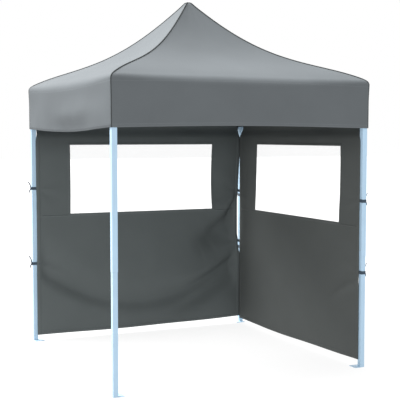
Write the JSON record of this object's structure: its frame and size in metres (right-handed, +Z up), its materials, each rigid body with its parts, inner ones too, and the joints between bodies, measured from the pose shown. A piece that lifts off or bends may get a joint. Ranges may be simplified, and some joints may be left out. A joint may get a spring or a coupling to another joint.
{
  "type": "folding party tent",
  "caption": "Square pop-up party tent with telescopic legs, folding scissor frame, centre mast, peaked canopy and two side walls with clear windows.",
  "frame": {"origin": "on the ground at the middle of the four legs", "axes": "+Z up, -Y to the open front side, +X to the right side, which has a wall"},
  "size_m": [2, 2, 2.7377],
  "materials": {
    "painted_steel": "satin powder coat, pale blue grey",
    "bare_steel": "zinc plated",
    "moulded_plastic": "fine moulded texture",
    "canopy_fabric": "coated polyester, anthracite",
    "wall_fabric": "polyester, anthracite",
    "window_film": "clear PVC film"
  },
  "bodies": {
    "hub": {"centre_hub_upper": "moulded_plastic", "canopy": "canopy_fabric", "wall_rear": "wall_fabric", "wall_right": "wall_fabric", "window_rear": "window_film", "window_right": "window_film"},
    "mast": {"centre_hub_lower": "moulded_plastic", "mast": "painted_steel", "mast_cap": "moulded_plastic"},
    "beam_front_low": {"beam_front_low": "painted_steel"},
    "beam_front_high": {"beam_front_high": "painted_steel"},
    "joint_front_upper": {"joint_front_upper": "moulded_plastic"},
    "joint_front_lower": {"joint_front_lower": "moulded_plastic"},
    "beam_rear_low": {"beam_rear_low": "painted_steel"},
    "beam_rear_high": {"beam_rear_high": "painted_steel"},
    "joint_rear_upper": {"joint_rear_upper": "moulded_plastic"},
    "joint_rear_lower": {"joint_rear_lower": "moulded_plastic"},
    "truss_front_a_low": {"truss_front_a_low": "painted_steel"},
    "truss_front_a_high": {"truss_front_a_high": "painted_steel"},
    "truss_front_b_low": {"truss_front_b_low": "painted_steel"},
    "truss_front_b_high": {"truss_front_b_high": "painted_steel"},
    "truss_rear_a_low": {"truss_rear_a_low": "painted_steel"},
    "truss_rear_a_high": {"truss_rear_a_high": "painted_steel"},
    "truss_rear_b_low": {"truss_rear_b_low": "painted_steel"},
    "truss_rear_b_high": {"truss_rear_b_high": "painted_steel"},
    "leg_front_left": {"leg_front_left": "painted_steel", "bracket_front_left": "moulded_plastic"},
    "slider_front_left": {"slider_front_left": "moulded_plastic"},
    "inner_leg_front_left": {"inner_leg_front_left": "painted_steel"},
    "height_button_front_left": {"height_button_front_left": "bare_steel"},
    "lock_button_front_left": {"lock_button_front_left": "bare_steel"},
    "leg_front_right": {"leg_front_right": "painted_steel", "bracket_front_right": "moulded_plastic"},
    "slider_front_right": {"slider_front_right": "moulded_plastic"},
    "inner_leg_front_right": {"inner_leg_front_right": "painted_steel"},
    "height_button_front_right": {"height_button_front_right": "bare_steel"},
    "lock_button_front_right": {"lock_button_front_right": "bare_steel"},
    "leg_rear_right": {"leg_rear_right": "painted_steel", "bracket_rear_right": "moulded_plastic"},
    "slider_rear_right": {"slider_rear_right": "moulded_plastic"},
    "inner_leg_rear_right": {"inner_leg_rear_right": "painted_steel"},
    "height_button_rear_right": {"height_button_rear_right": "bare_steel"},
    "lock_button_rear_right": {"lock_button_rear_right": "bare_steel"},
    "leg_rear_left": {"leg_rear_left": "painted_steel", "bracket_rear_left": "moulded_plastic"},
    "slider_rear_left": {"slider_rear_left": "moulded_plastic"},
    "inner_leg_rear_left": {"inner_leg_rear_left": "painted_steel"},
    "height_button_rear_left": {"height_button_rear_left": "bare_steel"},
    "lock_button_rear_left": {"lock_button_rear_left": "bare_steel"},
    "truss_right_a_low": {"truss_right_a_low": "painted_steel"},
    "truss_right_a_high": {"truss_right_a_high": "painted_steel"},
    "truss_right_b_low": {"truss_right_b_low": "painted_steel"},
    "truss_right_b_high": {"truss_right_b_high": "painted_steel"},
    "truss_left_a_low": {"truss_left_a_low": "painted_steel"},
    "truss_left_a_high": {"truss_left_a_high": "painted_steel"},
    "truss_left_b_low": {"truss_left_b_low": "painted_steel"},
    "truss_left_b_high": {"truss_left_b_high": "painted_steel"}
  },
  "joints": [
    {"name": "fold", "type": "hinge", "parent": "hub", "child": "beam_front_low", "pos_m": [0, -0.03, 2.055], "axis": [1, 0, 0], "range_deg": [0, 71.5], "deforming": ["canopy", "wall_rear", "wall_right", "window_rear", "window_right", "lock_button_front_left", "lock_button_front_right", "lock_button_rear_right", "lock_button_rear_left"]},
    {"name": "joint_front_lower_turn", "type": "hinge", "parent": "beam_front_low", "child": "joint_front_lower", "pos_m": [0, -0.926, 1.825], "axis": [1, 0, 0], "range_deg": [-71.5, 0]},
    {"name": "beam_front_high_cross", "type": "hinge", "parent": "beam_front_low", "child": "beam_front_high", "pos_m": [0, -0.478, 1.94], "axis": [1, 0, 0], "range_deg": [-143, 0]},
    {"name": "joint_front_upper_turn", "type": "hinge", "parent": "beam_front_high", "child": "joint_front_upper", "pos_m": [0, -0.926, 2.055], "axis": [1, 0, 0], "range_deg": [0, 71.5]},
    {"name": "mast_turn", "type": "hinge", "parent": "beam_front_high", "child": "mast", "pos_m": [0, -0.03, 1.825], "axis": [1, 0, 0], "range_deg": [0, 71.5]},
    {"name": "beam_rear_low_turn", "type": "hinge", "parent": "hub", "child": "beam_rear_low", "pos_m": [0, 0.03, 2.055], "axis": [-1, 0, 0], "range_deg": [0, 71.5]},
    {"name": "joint_rear_lower_turn", "type": "hinge", "parent": "beam_rear_low", "child": "joint_rear_lower", "pos_m": [0, 0.926, 1.825], "axis": [-1, 0, 0], "range_deg": [-71.5, 0]},
    {"name": "beam_rear_high_cross", "type": "hinge", "parent": "beam_rear_low", "child": "beam_rear_high", "pos_m": [0, 0.478, 1.94], "axis": [-1, 0, 0], "range_deg": [-143, 0]},
    {"name": "joint_rear_upper_turn", "type": "hinge", "parent": "beam_rear_high", "child": "joint_rear_upper", "pos_m": [0, 0.926, 2.055], "axis": [-1, 0, 0], "range_deg": [0, 71.5]},
    {"name": "truss_front_a_low_turn", "type": "hinge", "parent": "joint_front_upper", "child": "truss_front_a_low", "pos_m": [0, -0.964, 2.055], "axis": [0, -1, 0], "range_deg": [0, 71.5]},
    {"name": "truss_front_a_high_cross", "type": "hinge", "parent": "truss_front_a_low", "child": "truss_front_a_high", "pos_m": [-0.448, -0.964, 1.94], "axis": [0, -1, 0], "range_deg": [-143, 0]},
    {"name": "leg_front_left_turn", "type": "hinge", "parent": "truss_front_a_high", "child": "leg_front_left", "pos_m": [-0.896, -0.964, 2.055], "axis": [0, -1, 0], "range_deg": [0, 71.5]},
    {"name": "slider_front_left_turn", "type": "hinge", "parent": "truss_front_a_low", "child": "slider_front_left", "pos_m": [-0.896, -0.964, 1.825], "axis": [0, -1, 0], "range_deg": [-71.5, 0]},
    {"name": "truss_front_b_low_turn", "type": "hinge", "parent": "joint_front_upper", "child": "truss_front_b_low", "pos_m": [0, -0.964, 2.055], "axis": [0, -1, 0], "range_deg": [-71.5, 0]},
    {"name": "truss_front_b_high_cross", "type": "hinge", "parent": "truss_front_b_low", "child": "truss_front_b_high", "pos_m": [0.448, -0.964, 1.94], "axis": [0, -1, 0], "range_deg": [0, 143]},
    {"name": "leg_front_right_turn", "type": "hinge", "parent": "truss_front_b_high", "child": "leg_front_right", "pos_m": [0.896, -0.964, 2.055], "axis": [0, -1, 0], "range_deg": [-71.5, 0]},
    {"name": "slider_front_right_turn", "type": "hinge", "parent": "truss_front_b_low", "child": "slider_front_right", "pos_m": [0.896, -0.964, 1.825], "axis": [0, -1, 0], "range_deg": [0, 71.5]},
    {"name": "truss_rear_a_low_turn", "type": "hinge", "parent": "joint_rear_upper", "child": "truss_rear_a_low", "pos_m": [0, 0.964, 2.055], "axis": [0, 1, 0], "range_deg": [0, 71.5]},
    {"name": "truss_rear_a_high_cross", "type": "hinge", "parent": "truss_rear_a_low", "child": "truss_rear_a_high", "pos_m": [0.448, 0.964, 1.94], "axis": [0, 1, 0], "range_deg": [-143, 0]},
    {"name": "leg_rear_right_turn", "type": "hinge", "parent": "truss_rear_a_high", "child": "leg_rear_right", "pos_m": [0.896, 0.964, 2.055], "axis": [0, 1, 0], "range_deg": [0, 71.5]},
    {"name": "slider_rear_right_turn", "type": "hinge", "parent": "truss_rear_a_low", "child": "slider_rear_right", "pos_m": [0.896, 0.964, 1.825], "axis": [0, 1, 0], "range_deg": [-71.5, 0]},
    {"name": "truss_rear_b_low_turn", "type": "hinge", "parent": "joint_rear_upper", "child": "truss_rear_b_low", "pos_m": [0, 0.964, 2.055], "axis": [0, 1, 0], "range_deg": [-71.5, 0]},
    {"name": "truss_rear_b_high_cross", "type": "hinge", "parent": "truss_rear_b_low", "child": "truss_rear_b_high", "pos_m": [-0.448, 0.964, 1.94], "axis": [0, 1, 0], "range_deg": [0, 143]},
    {"name": "leg_rear_left_turn", "type": "hinge", "parent": "truss_rear_b_high", "child": "leg_rear_left", "pos_m": [-0.896, 0.964, 2.055], "axis": [0, 1, 0], "range_deg": [-71.5, 0]},
    {"name": "slider_rear_left_turn", "type": "hinge", "parent": "truss_rear_b_low", "child": "slider_rear_left", "pos_m": [-0.896, 0.964, 1.825], "axis": [0, 1, 0], "range_deg": [0, 71.5]},
    {"name": "truss_right_a_high_turn", "type": "hinge", "parent": "leg_front_right", "child": "truss_right_a_high", "pos_m": [0.964, -0.896, 2.055], "axis": [1, 0, 0], "range_deg": [-71.5, 0]},
    {"name": "truss_right_a_low_cross", "type": "hinge", "parent": "truss_right_a_high", "child": "truss_right_a_low", "pos_m": [0.964, -0.448, 1.94], "axis": [1, 0, 0], "range_deg": [0, 143]},
    {"name": "truss_right_b_high_turn", "type": "hinge", "parent": "leg_rear_right", "child": "truss_right_b_high", "pos_m": [0.964, 0.896, 2.055], "axis": [1, 0, 0], "range_deg": [0, 71.5]},
    {"name": "truss_right_b_low_cross", "type": "hinge", "parent": "truss_right_b_high", "child": "truss_right_b_low", "pos_m": [0.964, 0.448, 1.94], "axis": [1, 0, 0], "range_deg": [-143, 0]},
    {"name": "truss_left_a_high_turn", "type": "hinge", "parent": "leg_rear_left", "child": "truss_left_a_high", "pos_m": [-0.964, 0.896, 2.055], "axis": [-1, 0, 0], "range_deg": [-71.5, 0]},
    {"name": "truss_left_a_low_cross", "type": "hinge", "parent": "truss_left_a_high", "child": "truss_left_a_low", "pos_m": [-0.964, 0.448, 1.94], "axis": [-1, 0, 0], "range_deg": [0, 143]},
    {"name": "truss_left_b_high_turn", "type": "hinge", "parent": "leg_front_left", "child": "truss_left_b_high", "pos_m": [-0.964, -0.896, 2.055], "axis": [-1, 0, 0], "range_deg": [0, 71.5]},
    {"name": "truss_left_b_low_cross", "type": "hinge", "parent": "truss_left_b_high", "child": "truss_left_b_low", "pos_m": [-0.964, -0.448, 1.94], "axis": [-1, 0, 0], "range_deg": [-143, 0]},
    {"name": "height_front_left", "type": "slide", "parent": "leg_front_left", "child": "inner_leg_front_left", "axis": [0, 0, 1], "range_m": [0, 0.7], "deforming": ["height_button_front_left"]},
    {"name": "height_press_front_left", "type": "slide", "parent": "inner_leg_front_left", "child": "height_button_front_left", "axis": [0, -1, 0], "range_m": [0, 0.0045], "stiffness_N_per_m": 1500},
    {"name": "lock_press_front_left", "type": "slide", "parent": "leg_front_left", "child": "lock_button_front_left", "axis": [0, -1, 0], "range_m": [0, 0.006], "stiffness_N_per_m": 1500},
    {"name": "height_front_right", "type": "slide", "parent": "leg_front_right", "child": "inner_leg_front_right", "axis": [0, 0, 1], "range_m": [0, 0.7], "deforming": ["height_button_front_right", "wall_right"]},
    {"name": "height_press_front_right", "type": "slide", "parent": "inner_leg_front_right", "child": "height_button_front_right", "axis": [1, 0, 0], "range_m": [0, 0.0045], "stiffness_N_per_m": 1500},
    {"name": "lock_press_front_right", "type": "slide", "parent": "leg_front_right", "child": "lock_button_front_right", "axis": [1, 0, 0], "range_m": [0, 0.006], "stiffness_N_per_m": 1500},
    {"name": "height_rear_right", "type": "slide", "parent": "leg_rear_right", "child": "inner_leg_rear_right", "axis": [0, 0, 1], "range_m": [0, 0.7], "deforming": ["height_button_rear_right", "wall_rear", "wall_right"]},
    {"name": "height_press_rear_right", "type": "slide", "parent": "inner_leg_rear_right", "child": "height_button_rear_right", "axis": [0, 1, 0], "range_m": [0, 0.0045], "stiffness_N_per_m": 1500},
    {"name": "lock_press_rear_right", "type": "slide", "parent": "leg_rear_right", "child": "lock_button_rear_right", "axis": [0, 1, 0], "range_m": [0, 0.006], "stiffness_N_per_m": 1500},
    {"name": "height_rear_left", "type": "slide", "parent": "leg_rear_left", "child": "inner_leg_rear_left", "axis": [0, 0, 1], "range_m": [0, 0.7], "deforming": ["height_button_rear_left", "wall_rear"]},
    {"name": "height_press_rear_left", "type": "slide", "parent": "inner_leg_rear_left", "child": "height_button_rear_left", "axis": [-1, 0, 0], "range_m": [0, 0.0045], "stiffness_N_per_m": 1500},
    {"name": "lock_press_rear_left", "type": "slide", "parent": "leg_rear_left", "child": "lock_button_rear_left", "axis": [-1, 0, 0], "range_m": [0, 0.006], "stiffness_N_per_m": 1500}
  ],
  "couplings": [
    {"joint": "joint_front_lower_turn", "follows": "fold", "ratio": -1},
    {"joint": "beam_front_high_cross", "follows": "fold", "ratio": -2},
    {"joint": "joint_front_upper_turn", "follows": "fold", "ratio": 1},
    {"joint": "mast_turn", "follows": "fold", "ratio": 1},
    {"joint": "beam_rear_low_turn", "follows": "fold", "ratio": 1},
    {"joint": "joint_rear_lower_turn", "follows": "fold", "ratio": -1},
    {"joint": "beam_rear_high_cross", "follows": "fold", "ratio": -2},
    {"joint": "joint_rear_upper_turn", "follows": "fold", "ratio": 1},
    {"joint": "truss_front_a_low_turn", "follows": "fold", "ratio": 1},
    {"joint": "truss_front_a_high_cross", "follows": "fold", "ratio": -2},
    {"joint": "leg_front_left_turn", "follows": "fold", "ratio": 1},
    {"joint": "slider_front_left_turn", "follows": "fold", "ratio": -1},
    {"joint": "truss_front_b_low_turn", "follows": "fold", "ratio": -1},
    {"joint": "truss_front_b_high_cross", "follows": "fold", "ratio": 2},
    {"joint": "leg_front_right_turn", "follows": "fold", "ratio": -1},
    {"joint": "slider_front_right_turn", "follows": "fold", "ratio": 1},
    {"joint": "truss_rear_a_low_turn", "follows": "fold", "ratio": 1},
    {"joint": "truss_rear_a_high_cross", "follows": "fold", "ratio": -2},
    {"joint": "leg_rear_right_turn", "follows": "fold", "ratio": 1},
    {"joint": "slider_rear_right_turn", "follows": "fold", "ratio": -1},
    {"joint": "truss_rear_b_low_turn", "follows": "fold", "ratio": -1},
    {"joint": "truss_rear_b_high_cross", "follows": "fold", "ratio": 2},
    {"joint": "leg_rear_left_turn", "follows": "fold", "ratio": -1},
    {"joint": "slider_rear_left_turn", "follows": "fold", "ratio": 1},
    {"joint": "truss_right_a_high_turn", "follows": "fold", "ratio": -1},
    {"joint": "truss_right_a_low_cross", "follows": "fold", "ratio": 2},
    {"joint": "truss_right_b_high_turn", "follows": "fold", "ratio": 1},
    {"joint": "truss_right_b_low_cross", "follows": "fold", "ratio": -2},
    {"joint": "truss_left_a_high_turn", "follows": "fold", "ratio": -1},
    {"joint": "truss_left_a_low_cross", "follows": "fold", "ratio": 2},
    {"joint": "truss_left_b_high_turn", "follows": "fold", "ratio": 1},
    {"joint": "truss_left_b_low_cross", "follows": "fold", "ratio": -2}
  ]
}
